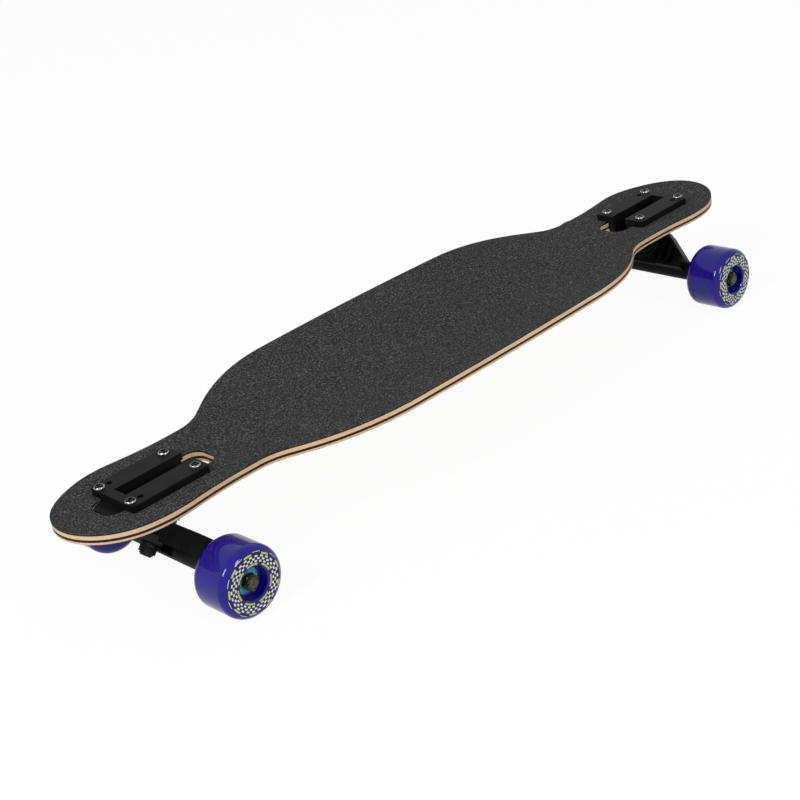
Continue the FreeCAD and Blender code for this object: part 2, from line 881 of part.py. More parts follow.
def inner_rings(side):
    """Inner rings of a wheel's bearings, which stay on the axle."""
    half = bearing_width / 2
    ring = tube(bearing_inner_shoulder, axle_radius + press_gap, -half, half, AXIS_Y).cut(ball_groove())
    rings = in_both_bearings(ring)
    for one in rings:
        one.translate(AXIS_Y * side * wheel_place)
    return rings


# Pieces that turn with a wheel, drawn about the Y axis with the wheel centred on the origin
def wheel():
    """Urethane wheel with rounded lips and a funnel-shaped recess over each bearing."""
    half = wheel_width / 2
    seat = bearing_radius + press_gap
    lip_centre = wheel_radius - wheel_lip_radius
    bend = wheel_lip_radius * math.sqrt(2) / 2
    flank = half - wheel_lip_radius
    right = [
        (spacer_length / 2, wheel_core_radius),
        (spacer_length / 2, seat),
        (bearing_face, seat),
        (bearing_face, wheel_recess_radius),
        (half - wheel_mouth_edge, wheel_mouth_radius - wheel_mouth_edge),
        (half, wheel_mouth_radius),
        (half, lip_centre),
        ((flank + bend, lip_centre + bend), (flank, wheel_radius)),
    ]
    left = [
        (-flank, wheel_radius),
        ((-flank - bend, lip_centre + bend), (-half, lip_centre)),
        (-half, wheel_mouth_radius),
        (-half + wheel_mouth_edge, wheel_mouth_radius - wheel_mouth_edge),
        (-bearing_face, wheel_recess_radius),
        (-bearing_face, seat),
        (-spacer_length / 2, seat),
        (-spacer_length / 2, wheel_core_radius),
    ]
    return turned(AXIS_Y, right[0], *right[1:], *left)


def build_wheel():
    """Wheel and the turning pieces of its two bearings."""
    half = bearing_width / 2
    ring = tube(bearing_radius, bearing_outer_shoulder, -half, half, AXIS_Y).cut(ball_groove())
    balls = []
    for index in range(ball_count):
        turn = Rotation(AXIS_Y, 360 * index / ball_count)
        balls += in_both_bearings(Part.makeSphere(ball_radius, turn.multVec(AXIS_X * pitch_radius)))
    seals = []
    for start in (-half + seal_inset, half - seal_inset - seal_thickness):
        seal = tube(
            bearing_outer_shoulder - press_gap,
            bearing_inner_shoulder + seal_gap,
            start,
            start + seal_thickness,
            AXIS_Y,
        )
        seals += in_both_bearings(seal)
    return {
        "wheel": wheel(),
        "bearing_outer_rings": group(in_both_bearings(ring)),
        "bearing_balls": group(balls),
        "bearing_seals": group(seals),
    }


# Placing of the trucks and wheels
def at_front(shape):
    """Truck piece put under the front end."""
    moved = shape.copy()
    moved.translate(AXIS_X * truck_place)
    return moved


def at_rear(shape):
    """Truck piece turned about and put under the rear end."""
    moved = shape.copy()
    moved.rotate(Vector(0, 0, 0), AXIS_Z, 180)
    moved.translate(AXIS_X * -truck_place)
    return moved


def build_board():
    """Every piece of the board by its name."""
    parts = build_deck()
    truck = build_truck()
    turning = build_wheel()
    for end, place_truck in (("front", at_front), ("rear", at_rear)):
        for name, shape in truck.items():
            parts[f"{end}_{name}"] = place_truck(shape)
        for side_name, side in (("left", 1), ("right", -1)):
            to_front = 1 if end == "front" else -1
            centre = Vector(to_front * (truck_place - axle_inset), side * wheel_place, axle_height)
            for name, shape in turning.items():
                moved = shape.copy()
                moved.translate(centre)
                parts[f"{end}_{side_name}_{name}"] = moved
    return parts


def main():
    """Write one file per piece."""
    os.makedirs("parts", exist_ok=True)
    for name, shape in build_board().items():
        shape.exportStep(f"parts/{name}.step")


main()
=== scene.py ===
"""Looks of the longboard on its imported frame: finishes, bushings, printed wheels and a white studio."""

import logging
import math
from dataclasses import dataclass
from enum import Enum

import bpy
import numpy as np
from mathutils import Matrix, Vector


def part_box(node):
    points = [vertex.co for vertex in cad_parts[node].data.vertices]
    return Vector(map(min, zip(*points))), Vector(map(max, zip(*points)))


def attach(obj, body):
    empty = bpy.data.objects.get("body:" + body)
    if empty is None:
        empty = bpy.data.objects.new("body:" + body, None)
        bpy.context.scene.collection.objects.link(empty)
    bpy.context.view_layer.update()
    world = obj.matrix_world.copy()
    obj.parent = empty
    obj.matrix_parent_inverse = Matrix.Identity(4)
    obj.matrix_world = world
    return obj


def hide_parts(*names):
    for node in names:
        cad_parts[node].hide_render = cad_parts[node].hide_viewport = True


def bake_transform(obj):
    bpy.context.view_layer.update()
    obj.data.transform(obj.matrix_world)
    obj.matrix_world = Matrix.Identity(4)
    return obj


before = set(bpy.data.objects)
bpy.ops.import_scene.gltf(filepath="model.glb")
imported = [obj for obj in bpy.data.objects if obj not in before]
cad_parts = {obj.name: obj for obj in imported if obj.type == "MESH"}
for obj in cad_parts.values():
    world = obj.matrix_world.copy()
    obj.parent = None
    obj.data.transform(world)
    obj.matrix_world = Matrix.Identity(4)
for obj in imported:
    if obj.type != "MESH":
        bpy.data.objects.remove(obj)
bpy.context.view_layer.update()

MM = 0.001
LOG = logging.getLogger("longboard")

# Octaves of the noise patterns, from smooth to rich
SMOOTH = 1.0
SOFT = 2.0
FINE = 3.0
RICH = 4.0

# Rays that feel for the neighbouring face where an edge is shaded round
BEVEL_SAMPLES = 4


class End(Enum):
    """The two ends of the board, with the direction of each along X."""

    FRONT = 1
    REAR = -1

    @property
    def label(self) -> str:
        """Name of the end as the nodes spell it."""
        return self.name.lower()


class Side(Enum):
    """The two sides of the board, with the direction of each along Y."""

    LEFT = 1
    RIGHT = -1

    @property
    def label(self) -> str:
        """Name of the side as the nodes spell it."""
        return self.name.lower()


class BushingPlace(Enum):
    """The two bushings of a truck, with the direction of each from the ring, down the kingpin."""

    BOARDSIDE = -1
    ROADSIDE = 1

    @property
    def label(self) -> str:
        """Name of the place as the nodes spell it."""
        return self.name.lower()


class GrainRun(Enum):
    """Direction of a veneer's fibres, as a unit vector of the board's frame."""

    ALONG = (1.0, 0.0, 0.0)
    ACROSS = (0.0, 1.0, 0.0)


def linear(hex_colour: str) -> tuple[float, float, float, float]:
    """Turn an sRGB hex colour into linear light, by the standard curve: a straight toe and a power above it.

    Args:
        hex_colour: Colour such as "#3a3a3b".

    Returns:
        Linear red, green and blue with an alpha of one.
    """
    shares = np.array([int(hex_colour[start:start + 2], 16) for start in (1, 3, 5)]) / 255
    light = np.where(shares <= 0.04045, shares / 12.92, ((shares + 0.055) / 1.055) ** 2.4)
    return (float(light[0]), float(light[1]), float(light[2]), 1.0)


def add_node(tree: bpy.types.NodeTree, kind: str, inputs: dict[str | int, object] | None = None,
             **settings: object) -> bpy.types.Node:
    """Add a node with its settings, its values and its links.

    Args:
        tree: Tree that gets the node.
        kind: Blender's name of the node type.
        inputs: Value or output socket for each named or numbered input.
        **settings: Attributes of the node, or "stops" for the stops of a colour ramp.

    Returns:
        The new node.
    """
    node = tree.nodes.new(kind)
    for name, value in settings.items():
        if name == "stops":
            elements = node.color_ramp.elements
            while len(elements) < len(value):
                elements.new(1.0)
            for element, (position, colour) in zip(elements, value):
                element.position = position
                element.color = linear(colour)
        else:
            setattr(node, name, value)
    for socket, value in (inputs or {}).items():
        if isinstance(value, bpy.types.NodeSocket):
            tree.links.new(value, node.inputs[socket])
        else:
            node.inputs[socket].default_value = value
    return node


@dataclass(frozen=True)
class Finish:
    """A surface with one Principled shader; each kind of finish paints its own pattern on it."""

    name: str
    roughness: float
    metallic: float = 0.0
    ior: float = 1.5
    specular: float = 0.5

    def paint(self, tree: bpy.types.NodeTree, place: bpy.types.NodeSocket, shader: bpy.types.Node) -> None:
        """Link colour, roughness and bump to the shader.

        Args:
            tree: The material's nodes.
            place: Object coordinates, in metres.
            shader: The Principled node.
        """
        raise NotImplementedError

    def material(self) -> bpy.types.Material:
        """Build the material once.

        Returns:
            The material, shared by every piece of this finish.
        """
        known = bpy.data.materials.get(self.name)
        if known is not None:
            return known
        made = bpy.data.materials.new(self.name)
        made.use_nodes = True
        tree = made.node_tree
        tree.nodes.clear()
        shader = add_node(tree, "ShaderNodeBsdfPrincipled", {"Roughness": self.roughness, "Metallic": self.metallic})
        if not self.metallic:
            shader.inputs["IOR"].default_value = self.ior
            shader.inputs["Specular IOR Level"].default_value = self.specular
        add_node(tree, "ShaderNodeOutputMaterial", {"Surface": shader.outputs["BSDF"]})
        self.paint(tree, add_node(tree, "ShaderNodeTexCoord").outputs["Object"], shader)
        return made


@dataclass(frozen=True)
class GritSheet(Finish):
    """Silicon carbide grit glued to black paper: dead matt, with scattered grains that catch the light."""

    binder: str = "#1d1d1e"
    grain: str = "#353536"
    glint: str = "#7a7a79"
    levels: tuple[float, float, float] = (0.36, 0.53, 0.7)
    # Real grit is 0.2 mm across, finer than the render shows, so it is drawn as small clusters of grains
    grain_mm: float = 1.6
    grain_contrast: float = 0.75
    patch_mm: float = 60.0
    patch_tones: tuple[str, str] = ("#ececec", "#ffffff")
    patch_levels: tuple[float, float] = (0.3, 0.7)
    bump_mm: float = 0.3
    bump_strength: float = 0.5

    def paint(self, tree: bpy.types.NodeTree, place: bpy.types.NodeSocket, shader: bpy.types.Node) -> None:
        """Speckle the binder with grains, in slow patches of more and less grit.

        Args:
            tree: The material's nodes.
            place: Object coordinates, in metres.
            shader: The Principled node.
        """
        grit = add_node(
            tree, "ShaderNodeTexNoise",
            {"Vector": place, "Scale": 1 / (self.grain_mm * MM), "Detail": FINE, "Roughness": self.grain_contrast},
        )
        speckle = add_node(
            tree, "ShaderNodeValToRGB", {"Fac": grit.outputs["Fac"]},
            stops=list(zip(self.levels, (self.binder, self.grain, self.glint))),
        )
        patch = add_node(
            tree, "ShaderNodeTexNoise", {"Vector": place, "Scale": 1 / (self.patch_mm * MM), "Detail": SOFT},
        )
        tone = add_node(
            tree, "ShaderNodeValToRGB", {"Fac": patch.outputs["Fac"]},
            stops=list(zip(self.patch_levels, self.patch_tones)),
        )
        mixed = add_node(
            tree, "ShaderNodeMixRGB",
            {"Fac": 1.0, "Color1": speckle.outputs["Color"], "Color2": tone.outputs["Color"]}, blend_type="MULTIPLY",
        )
        tree.links.new(mixed.outputs["Color"], shader.inputs["Base Color"])
        bump = add_node(
            tree, "ShaderNodeBump",
            {"Height": grit.outputs["Fac"], "Strength": self.bump_strength, "Distance": self.bump_mm * MM},
        )
        tree.links.new(bump.outputs["Normal"], shader.inputs["Normal"])


@dataclass(frozen=True)
class Veneer(Finish):
    """Rotary-cut maple under a thin sealer: pale, with fine streaks along the fibres and darker cut ends."""

    light: str = "#dfcaac"
    streak: str = "#c5a684"
    cut_end: str = "#bd9c79"
    run: GrainRun = GrainRun.ALONG
    fibre_mm: float = 0.8
    fibre_length_mm: float = 26.0
    fibre_levels: tuple[float, float] = (0.38, 0.62)
    figure_mm: float = 70.0
    figure_tones: tuple[str, str] = ("#e6dfd6", "#ffffff")
    figure_levels: tuple[float, float] = (0.3, 0.7)
    cut_share: float = 0.8
    bump_mm: float = 0.1
    bump_strength: float = 0.15

    def paint(self, tree: bpy.types.NodeTree, place: bpy.types.NodeSocket, shader: bpy.types.Node) -> None:
        """Stretch noise along the fibres, and darken faces that are cut across them.

        Args:
            tree: The material's nodes.
            place: Object coordinates, in metres.
            shader: The Principled node.
        """
        along = np.array(self.run.value)
        scales = along / (self.fibre_length_mm * MM) + (1 - along) / (self.fibre_mm * MM)
        stretched = add_node(tree, "ShaderNodeMapping", {"Vector": place, "Scale": tuple(scales)})
        fibres = add_node(
            tree, "ShaderNodeTexNoise", {"Vector": stretched.outputs["Vector"], "Scale": 1.0, "Detail": RICH},
        )
        streaks = add_node(
            tree, "ShaderNodeValToRGB", {"Fac": fibres.outputs["Fac"]},
            stops=list(zip(self.fibre_levels, (self.streak, self.light))),
        )
        figure = add_node(
            tree, "ShaderNodeTexNoise", {"Vector": place, "Scale": 1 / (self.figure_mm * MM), "Detail": SMOOTH},
        )
        clouds = add_node(
            tree, "ShaderNodeValToRGB", {"Fac": figure.outputs["Fac"]},
            stops=list(zip(self.figure_levels, self.figure_tones)),
        )
        toned = add_node(
            tree, "ShaderNodeMixRGB",
            {"Fac": 1.0, "Color1": streaks.outputs["Color"], "Color2": clouds.outputs["Color"]},
            blend_type="MULTIPLY",
        )
        facing = add_node(
            tree, "ShaderNodeVectorMath",
            {0: add_node(tree, "ShaderNodeNewGeometry").outputs["True Normal"], 1: self.run.value},
            operation="DOT_PRODUCT",
        )
        across = add_node(tree, "ShaderNodeMath", {0: facing.outputs["Value"]}, operation="ABSOLUTE")
        share = add_node(
            tree, "ShaderNodeMath", {0: across.outputs["Value"], 1: self.cut_share}, operation="MULTIPLY",
        )
        cut = add_node(
            tree, "ShaderNodeMixRGB",
            {"Fac": share.outputs["Value"], "Color1": toned.outputs["Color"], "Color2": linear(self.cut_end)},
        )
        tree.links.new(cut.outputs["Color"], shader.inputs["Base Color"])
        bump = add_node(
            tree, "ShaderNodeBump",
            {"Height": fibres.outputs["Fac"], "Strength": self.bump_strength, "Distance": self.bump_mm * MM},
        )
        tree.links.new(bump.outputs["Normal"], shader.inputs["Normal"])


@dataclass(frozen=True)
class PowderCoat(Finish):
    """Satin black powder coat on a sand casting: slight orange peel, softened edges and a dusting of grey."""

    coat: str = "#0a0a0b"
    dusty: str = "#141415"
    peel_mm: float = 2.4
    dust_mm: float = 16.0
    dust_levels: tuple[float, float] = (0.35, 0.7)
    edge_mm: float = 0.7
    bump_mm: float = 0.15
    bump_strength: float = 0.18

    def paint(self, tree: bpy.types.NodeTree, place: bpy.types.NodeSocket, shader: bpy.types.Node) -> None:
        """Vary the black slowly, and bump it with the peel over rounded edges.

        Args:
            tree: The material's nodes.
            place: Object coordinates, in metres.
            shader: The Principled node.
        """
        dust = add_node(
            tree, "ShaderNodeTexNoise", {"Vector": place, "Scale": 1 / (self.dust_mm * MM), "Detail": FINE},
        )
        tone = add_node(
            tree, "ShaderNodeValToRGB", {"Fac": dust.outputs["Fac"]},
            stops=list(zip(self.dust_levels, (self.coat, self.dusty))),
        )
        tree.links.new(tone.outputs["Color"], shader.inputs["Base Color"])
        peel = add_node(
            tree, "ShaderNodeTexNoise", {"Vector": place, "Scale": 1 / (self.peel_mm * MM), "Detail": SOFT},
        )
        rounded = add_node(tree, "ShaderNodeBevel", {"Radius": self.edge_mm * MM}, samples=BEVEL_SAMPLES)
        bump = add_node(
            tree, "ShaderNodeBump",
            {"Height": peel.outputs["Fac"], "Strength": self.bump_strength, "Distance": self.bump_mm * MM,
             "Normal": rounded.outputs["Normal"]},
        )
        tree.links.new(bump.outputs["Normal"], shader.inputs["Normal"])


@dataclass(frozen=True)
class PlatedSteel(Finish):
    """Plated or oxidised steel: metal with soft blotches in its colour and its polish."""

    bright: str = "#bfc0be"
    dull: str = "#9d9e9c"
    blotch_mm: float = 3.0
    blotch_levels: tuple[float, float] = (0.35, 0.65)
    polish_shares: tuple[float, float] = (1.3, 0.7)
    edge_mm: float = 0.25

    def paint(self, tree: bpy.types.NodeTree, place: bpy.types.NodeSocket, shader: bpy.types.Node) -> None:
        """Blotch colour and roughness together, with small rounded edges.

        Args:
            tree: The material's nodes.
            place: Object coordinates, in metres.
            shader: The Principled node.
        """
        blotch = add_node(
            tree, "ShaderNodeTexNoise", {"Vector": place, "Scale": 1 / (self.blotch_mm * MM), "Detail": FINE},
        )
        tone = add_node(
            tree, "ShaderNodeValToRGB", {"Fac": blotch.outputs["Fac"]},
            stops=list(zip(self.blotch_levels, (self.dull, self.bright))),
        )
        tree.links.new(tone.outputs["Color"], shader.inputs["Base Color"])
        dullest, shiniest = (self.roughness * share for share in self.polish_shares)
        polish = add_node(
            tree, "ShaderNodeMapRange", {"Value": blotch.outputs["Fac"], "To Min": dullest, "To Max": shiniest},
        )
        tree.links.new(polish.outputs["Result"], shader.inputs["Roughness"])
        rounded = add_node(tree, "ShaderNodeBevel", {"Radius": self.edge_mm * MM}, samples=BEVEL_SAMPLES)
        tree.links.new(rounded.outputs["Normal"], shader.inputs["Normal"])


@dataclass(frozen=True)
class PaintedHighlightBolt(Finish):
    """Black oxide steel with a painted highlight: a bright, broken ring in the colour of each bolt head's rim,
    standing in for the lamps' reflection on the dome.
    """

    oxide: str = "#131314"
    # Colour of the painted highlight on each bolt head's rim
    rim: str = "#a3a39f"
    truck_place_mm: float = 318.8
    bolt_spacing_mm: tuple[float, float] = (63.5, 41.3)
    reach_mm: float = 5.0
    rim_levels: tuple[float, float, float, float] = (0.76, 0.86, 0.94, 1.0)
    highlight_break_mm: float = 1.5
    unevenness: float = 0.3
    edge_mm: float = 0.2

    def paint(self, tree: bpy.types.NodeTree, place: bpy.types.NodeSocket, shader: bpy.types.Node) -> None:
        """Fold the eight bolts onto one, and paint a highlight ring into its colour by the distance from its own
        axis.

        Args:
            tree: The material's nodes.
            place: Object coordinates, in metres.
            shader: The Principled node.
        """
        along, across = (spacing / 2 * MM for spacing in self.bolt_spacing_mm)
        folded = place
        for middle in ((self.truck_place_mm * MM, across, 0.0), (along, 0.0, 0.0)):
            halved = add_node(tree, "ShaderNodeVectorMath", {0: folded}, operation="ABSOLUTE")
            moved = add_node(
                tree, "ShaderNodeVectorMath", {0: halved.outputs["Vector"], 1: middle}, operation="SUBTRACT",
            )
            folded = moved.outputs["Vector"]
        level = add_node(tree, "ShaderNodeVectorMath", {0: folded, 1: (1.0, 1.0, 0.0)}, operation="MULTIPLY")
        radius = add_node(tree, "ShaderNodeVectorMath", {0: level.outputs["Vector"]}, operation="LENGTH")
        highlight_breaks = add_node(
            tree, "ShaderNodeTexNoise", {"Vector": place, "Scale": 1 / (self.highlight_break_mm * MM), "Detail": SOFT},
        )
        uneven = add_node(
            tree, "ShaderNodeMapRange",
            {"Value": highlight_breaks.outputs["Fac"], "To Min": -self.unevenness, "To Max": self.unevenness},
        )
        share = add_node(
            tree, "ShaderNodeMapRange", {"Value": radius.outputs["Value"], "From Max": self.reach_mm * MM},
        )
        highlight_share = add_node(
            tree, "ShaderNodeMath", {0: share.outputs["Result"], 1: uneven.outputs["Result"]}, operation="ADD",
        )
        # The bright rim colour is a painted highlight, broken up by noise
        tone = add_node(
            tree, "ShaderNodeValToRGB", {"Fac": highlight_share.outputs["Value"]},
            stops=list(zip(self.rim_levels, (self.oxide, self.rim, self.rim, self.oxide))),
        )
        tree.links.new(tone.outputs["Color"], shader.inputs["Base Color"])
        rounded = add_node(tree, "ShaderNodeBevel", {"Radius": self.edge_mm * MM}, samples=BEVEL_SAMPLES)
        tree.links.new(rounded.outputs["Normal"], shader.inputs["Normal"])


@dataclass(frozen=True)
class CastUrethane(Finish):
    """Poured polyurethane: a deep even colour under a gloss skin, faintly clouded, with fine mould marks."""

    body: str = "#15027a"
    cloud: str = "#12026c"
    cloud_mm: float = 18.0
    cloud_levels: tuple[float, float] = (0.3, 0.7)
    skin_mm: float = 3.0
    polish_shares: tuple[float, float] = (0.85, 1.2)
    bump_mm: float = 0.1
    bump_strength: float = 0.015

    def paint(self, tree: bpy.types.NodeTree, place: bpy.types.NodeSocket, shader: bpy.types.Node) -> None:
        """Cloud the colour faintly, and let the skin's polish wander.

        Args:
            tree: The material's nodes.
            place: Object coordinates, in metres.
            shader: The Principled node.
        """
        cloud = add_node(
            tree, "ShaderNodeTexNoise", {"Vector": place, "Scale": 1 / (self.cloud_mm * MM), "Detail": SOFT},
        )
        tone = add_node(
            tree, "ShaderNodeValToRGB", {"Fac": cloud.outputs["Fac"]},
            stops=list(zip(self.cloud_levels, (self.cloud, self.body))),
        )
        tree.links.new(tone.outputs["Color"], shader.inputs["Base Color"])
        skin = add_node(
            tree, "ShaderNodeTexNoise", {"Vector": place, "Scale": 1 / (self.skin_mm * MM), "Detail": SOFT},
        )
        shiniest, dullest = (self.roughness * share for share in self.polish_shares)
        polish = add_node(
            tree, "ShaderNodeMapRange", {"Value": skin.outputs["Fac"], "To Min": shiniest, "To Max": dullest},
        )
        tree.links.new(polish.outputs["Result"], shader.inputs["Roughness"])
        bump = add_node(
            tree, "ShaderNodeBump",
            {"Height": skin.outputs["Fac"], "Strength": self.bump_strength, "Distance": self.bump_mm * MM},
        )
        tree.links.new(bump.outputs["Normal"], shader.inputs["Normal"])


@dataclass(frozen=True)
class MouldedSurface(Finish):
    """Moulded rubber or nylon: even satin colour with a fine grain from the mould."""

    body: str = "#1a1a1b"
    shade: str = "#111112"
    grain_mm: float = 1.2
    grain_levels: tuple[float, float] = (0.3, 0.7)
    bump_mm: float = 0.08
    bump_strength: float = 0.12

    def paint(self, tree: bpy.types.NodeTree, place: bpy.types.NodeSocket, shader: bpy.types.Node) -> None:
        """Grain the colour and the bump with the same fine noise.

        Args:
            tree: The material's nodes.
            place: Object coordinates, in metres.
            shader: The Principled node.
        """
        grain = add_node(
            tree, "ShaderNodeTexNoise", {"Vector": place, "Scale": 1 / (self.grain_mm * MM), "Detail": SOFT},
        )
        tone = add_node(
            tree, "ShaderNodeValToRGB", {"Fac": grain.outputs["Fac"]},
            stops=list(zip(self.grain_levels, (self.shade, self.body))),
        )
        tree.links.new(tone.outputs["Color"], shader.inputs["Base Color"])
        bump = add_node(
            tree, "ShaderNodeBump",
            {"Height": grain.outputs["Fac"], "Strength": self.bump_strength, "Distance": self.bump_mm * MM},
        )
        tree.links.new(bump.outputs["Normal"], shader.inputs["Normal"])


@dataclass(frozen=True)
class PadInk(Finish):
    """Pad-printed ink: a thin opaque film, a little uneven where the pad lifted off."""

    body: str = "#e6e6f0"
    thin: str = "#b9b9d6"
    fleck_mm: float = 0.9
    fleck_levels: tuple[float, float] = (0.32, 0.5)

    def paint(self, tree: bpy.types.NodeTree, place: bpy.types.NodeSocket, shader: bpy.types.Node) -> None:
        """Let the film go thin in small flecks.

        Args:
            tree: The material's nodes.
            place: Object coordinates, in metres.
            shader: The Principled node.
        """
        fleck = add_node(
            tree, "ShaderNodeTexNoise", {"Vector": place, "Scale": 1 / (self.fleck_mm * MM), "Detail": SOFT},
        )
        tone = add_node(
            tree, "ShaderNodeValToRGB", {"Fac": fleck.outputs["Fac"]},
            stops=list(zip(self.fleck_levels, (self.thin, self.body))),
        )
        tree.links.new(tone.outputs["Color"], shader.inputs["Base Color"])


# Grit paper swallows the light, so the deck is a dark grey with fine glints
GRIT = GritSheet("silicon_carbide_grit_paper", roughness=0.95, specular=0.1)
# Sealed maple is a pale, warm band at the edge, and its crosswise plies show their cut ends there
MAPLE_ALONG = Veneer("sealed_maple_veneer_lengthwise", roughness=0.5)
MAPLE_ACROSS = Veneer("sealed_maple_veneer_crosswise", roughness=0.5, run=GrainRun.ACROSS)
# Dye leaves only a trace of brown, which draws dark lines between the pale bands
DYED_MAPLE = Veneer(
    "dyed_maple_veneer", roughness=0.55, specular=0.2, light="#2e180b", streak="#1c0e06", cut_end="#180c05",
)
# Powder coat is a soft black whose edges and tops pick up a little grey
CASTING = PowderCoat("powder_coated_cast_aluminium", roughness=0.5, specular=0.06)
# Zinc plating is light and cool with a soft shine
ZINC_STEEL = PlatedSteel("zinc_plated_steel", roughness=0.34, metallic=1.0)
# Bearing steel is tinted a muted teal, close in colour to the seals beside it
BEARING_STEEL = PlatedSteel("teal_tinted_bearing_steel", roughness=0.28, metallic=1.0, bright="#4f82a0", dull="#38647f")
# Axle steel is dull and slightly olive; its darkness is partly painted shade of the wheel's hub recess, where the
# axle ends, speed rings and spacers sit
AXLE_STEEL = PlatedSteel(
    "darkened_axle_steel", roughness=0.45, metallic=1.0, bright="#5c5e55", dull="#34362f", blotch_mm=1.6,
)
# Yellow zinc is a dark bronze on the axle nuts: the olive tone is its own, and the darkness is partly painted shade
# of the wheel's hub recess
YELLOW_ZINC = PlatedSteel(
    "yellow_zinc_plated_steel", roughness=0.42, metallic=1.0, bright="#55553a", dull="#212219", blotch_mm=1.6,
)
# Black oxide keeps a metal sheen on a near-black ground
BLACK_STEEL = PlatedSteel(
    "black_oxide_steel", roughness=0.4, metallic=1.0, bright="#2e2e30", dull="#1a1a1b",
)
# Bolt heads are black with a thin, broken bright rim, which is a painted highlight
BOLT_STEEL = PaintedHighlightBolt("black_oxide_steel_bright_rims", roughness=0.25, metallic=1.0)
# Gloss urethane is a deep blue violet with small, sharp highlights
WHEEL_URETHANE = CastUrethane("cast_polyurethane_blue_violet", roughness=0.09, specular=0.3)
# Bushing urethane is a plain satin black
BUSHING_URETHANE = MouldedSurface(
    "moulded_urethane_bushing", roughness=0.5, specular=0.2, body="#1e1e1f", shade="#131314",
)
# Moulded seals are a clear teal
SEAL_RUBBER = MouldedSurface("moulded_nitrile_seal", roughness=0.45, specular=0.3, body="#4f9dba", shade="#3a82a2")
# Nylon is a satin black, hidden in its socket
CUP_NYLON = MouldedSurface("moulded_nylon_cup", roughness=0.5, specular=0.2)
# Pad-printed inks lie flat and a little worn: off-white, lime and nearly black
WHITE_INK = PadInk("pad_ink_white", roughness=0.4, body="#d9d9e6", thin="#8f8fb4")
LIME_INK = PadInk("pad_ink_lime", roughness=0.4, body="#a9b65a", thin="#6f7a40")
DARK_INK = PadInk("pad_ink_dark", roughness=0.4, specular=0.3, body="#131226", thin="#1d1850", fleck_mm=1.6)


def make_piece(name: str, points: np.ndarray, faces: np.ndarray, finishes: list[Finish],
               which: np.ndarray) -> bpy.types.Object:
    """Put worked-out points and faces into a mesh object at the origin, with flat shading.

    Args:
        name: Name of the piece.
        points: Places in metres, one row each.
        faces: Four point numbers per face, in the order that makes it point outwards.
        finishes: Finishes of the piece.
        which: Number of the finish of each face.

    Returns:
        The new object, linked to the scene.
    """
    mesh = bpy.data.meshes.new(name)
    mesh.from_pydata(points, [], faces)
    for finish in finishes:
        mesh.materials.append(finish.material())
    mesh.polygons.foreach_set("material_index", which.astype(np.int32))
    mesh.update()
    piece = bpy.data.objects.new(name, mesh)
    bpy.context.scene.collection.objects.link(piece)
    LOG.info("%s: %d faces", name, len(faces))
    return piece


def dress(node: str, finish: Finish) -> None:
    """Give a CAD node its finish.

    Args:
        node: Name of the node.
        finish: Finish for all of its faces.
    """
    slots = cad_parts[node].data.materials
    slots.clear()
    slots.append(finish.material())
    LOG.info("%s: %s", node, finish.name)


@dataclass
class Deck:
    """The pressed deck: grip sheet on top and eight plies, numbered from the top."""

    ply_count: int = 8
    dyed_plies: tuple[int, ...] = (1, 5, 6)
    crosswise_plies: tuple[int, ...] = (3, 7)

    def dress(self) -> None:
        """Give the grip sheet its grit and each ply its veneer."""
        dress("grip_tape", GRIT)
        for number in range(1, self.ply_count + 1):
            finish = MAPLE_ALONG
            if number in self.dyed_plies:
                finish = DYED_MAPLE
            elif number in self.crosswise_plies:
                finish = MAPLE_ACROSS
            dress(f"deck_ply_{number}", finish)


@dataclass
class Truck:
    """One steering truck with its axle, bearings' inner rings and fasteners."""

    end: End
    # Height of each bushing, and its radius at the washer
    barrel_mm: tuple[float, float] = (8.0, 12.4)
    cone_mm: tuple[float, float] = (10.0, 9.0)

    def dress(self) -> None:
        """Give every node of the truck the finish of its material."""
        finishes = {
            "baseplate": CASTING,
            "hanger": CASTING,
            "pivot_cup": CUP_NYLON,
            "kingpin": BLACK_STEEL,
            "kingpin_nut": BLACK_STEEL,
            "boardside_washer": BLACK_STEEL,
            "roadside_washer": BLACK_STEEL,
            "mounting_bolts": BOLT_STEEL,
            "mounting_nuts": ZINC_STEEL,
            "axle": AXLE_STEEL,
            "axle_nuts": YELLOW_ZINC,
            "speed_rings": AXLE_STEEL,
            "bearing_inner_rings": BEARING_STEEL,
            "bearing_spacers": AXLE_STEEL,
        }
        for name, finish in finishes.items():
            dress(f"{self.end.label}_{name}", finish)

    def build_bushings(self) -> None:
        """Build the barrel towards the board and the cone towards the road."""
        Bushing(self.end, BushingPlace.BOARDSIDE, *self.barrel_mm).build()
        Bushing(self.end, BushingPlace.ROADSIDE, *self.cone_mm).build()


